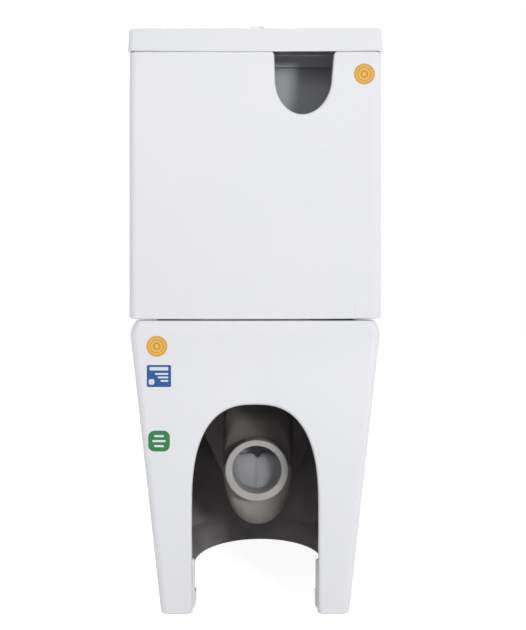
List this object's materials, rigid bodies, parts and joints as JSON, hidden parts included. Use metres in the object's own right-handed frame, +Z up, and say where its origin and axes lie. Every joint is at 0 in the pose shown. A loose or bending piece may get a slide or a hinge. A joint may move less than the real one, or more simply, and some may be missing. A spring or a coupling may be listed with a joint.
{
  "type": "floor-standing toilet",
  "caption": "Back-to-wall toilet with a close-coupled cistern, hinged seat and cover, dual push button, flush and fill valves, and a skirted pan with an arch round its outlet.",
  "frame": {"origin": "on the floor under the middle of the outline", "axes": "+Z up, +Y towards the wall behind the toilet, +X to the right of someone who stands in front of it and faces it"},
  "size_m": [0.369, 0.65, 0.8662],
  "materials": {
    "glazed_china": "white vitreous china under a clear gloss glaze",
    "seat_plastic": "white moulded thermoset, glossy",
    "white_plastic": "white moulded plastic, satin",
    "blue_plastic": "blue moulded plastic, satin",
    "grey_plastic": "grey moulded plastic, satin",
    "chrome": "bright chrome plate",
    "steel": "stainless steel, satin",
    "brass": "plain brass",
    "black_rubber": "black moulded rubber",
    "soft_rubber": "pale grey soft rubber"
  },
  "bodies": {
    "toilet": {"pan_skirt": "glazed_china", "pan_deck": "glazed_china", "pan_bowl": "glazed_china", "pan_water_chamber": "glazed_china", "pan_trapway": "glazed_china", "cistern_tank": "glazed_china", "coupling_gasket": "black_rubber", "tank_bolt_left": "brass", "tank_bolt_right": "brass", "tank_bolt_rubber_washer_left": "black_rubber", "tank_bolt_rubber_washer_right": "black_rubber", "deck_washer_left": "steel", "deck_washer_right": "steel", "wing_nut_left": "brass", "wing_nut_right": "brass", "tank_pad_left": "black_rubber", "tank_pad_right": "black_rubber", "flush_valve_base": "white_plastic", "flush_valve_washer": "black_rubber", "flush_valve_back_nut": "grey_plastic", "flush_valve_tower": "white_plastic", "flush_valve_cap": "blue_plastic", "fill_valve_column": "white_plastic", "fill_valve_washer": "black_rubber", "fill_valve_back_nut": "brass", "fill_valve_head": "grey_plastic", "hinge_base_left": "chrome", "hinge_base_right": "chrome", "hinge_pin_left": "steel", "hinge_pin_right": "steel", "hinge_stud_left": "steel", "hinge_stud_right": "steel", "hinge_nut_left": "white_plastic", "hinge_nut_right": "white_plastic"},
    "lid": {"cistern_lid": "glazed_china", "button_housing": "chrome", "button_ring_nut": "white_plastic", "half_flush_spring": "steel", "full_flush_spring": "steel"},
    "half_button": {"half_flush_button": "chrome", "half_flush_rod": "white_plastic"},
    "full_button": {"full_flush_button": "chrome", "full_flush_rod": "white_plastic"},
    "half_plunger": {"half_flush_plunger": "white_plastic"},
    "full_plunger": {"full_flush_plunger": "grey_plastic"},
    "valve_core": {"flush_valve_core": "white_plastic", "flush_valve_core_seal": "black_rubber"},
    "float": {"float_cup": "blue_plastic"},
    "lever": {"float_lever": "white_plastic"},
    "seat": {"seat_ring": "seat_plastic", "seat_bumper_front_left": "soft_rubber", "seat_bumper_front_right": "soft_rubber", "seat_bumper_back_left": "soft_rubber", "seat_bumper_back_right": "soft_rubber"},
    "cover": {"seat_cover": "seat_plastic", "cover_bumper_left": "soft_rubber", "cover_bumper_right": "soft_rubber", "hinge_damper_left": "grey_plastic", "hinge_damper_right": "grey_plastic"}
  },
  "joints": [
    {"name": "cover_hinge", "type": "hinge", "parent": "toilet", "child": "cover", "pos_m": [0, 0.1, 0.446], "axis": [-1, 0, 0], "range_deg": [-94.5, 0]},
    {"name": "seat_hinge", "type": "hinge", "parent": "toilet", "child": "seat", "pos_m": [0, 0.1, 0.446], "axis": [-1, 0, 0], "range_deg": [0, 92]},
    {"name": "lid_lift", "type": "slide", "parent": "toilet", "child": "lid", "axis": [0, 0, 1], "range_m": [0, 0.12]},
    {"name": "half_press", "type": "slide", "parent": "lid", "child": "half_button", "axis": [0, 0, -1], "range_m": [0, 0.006], "stiffness_N_per_m": 400, "springref_m": -0.004, "deforming": ["half_flush_spring"]},
    {"name": "full_press", "type": "slide", "parent": "lid", "child": "full_button", "axis": [0, 0, -1], "range_m": [0, 0.006], "stiffness_N_per_m": 400, "springref_m": -0.004, "deforming": ["full_flush_spring"]},
    {"name": "half_plunger_slide", "type": "slide", "parent": "toilet", "child": "half_plunger", "axis": [0, 0, -1], "range_m": [0, 0.006]},
    {"name": "full_plunger_slide", "type": "slide", "parent": "toilet", "child": "full_plunger", "axis": [0, 0, -1], "range_m": [0, 0.006]},
    {"name": "core_lift", "type": "slide", "parent": "toilet", "child": "valve_core", "axis": [0, 0, 1], "range_m": [0, 0.018]},
    {"name": "float_rise", "type": "slide", "parent": "toilet", "child": "float", "axis": [0, 0, 1], "range_m": [0, 0.012]},
    {"name": "lever_tip", "type": "hinge", "parent": "toilet", "child": "lever", "pos_m": [-0.138, 0.2515, 0.6889], "axis": [-1, 0, 0], "range_deg": [0, 27.1]}
  ],
  "couplings": [
    {"joint": "half_plunger_slide", "follows": "half_press", "ratio": 1},
    {"joint": "full_plunger_slide", "follows": "full_press", "ratio": 1},
    {"joint": "core_lift", "follows": "full_press", "ratio": 3},
    {"joint": "lever_tip", "follows": "float_rise", "rad_per_m": 39.27}
  ]
}
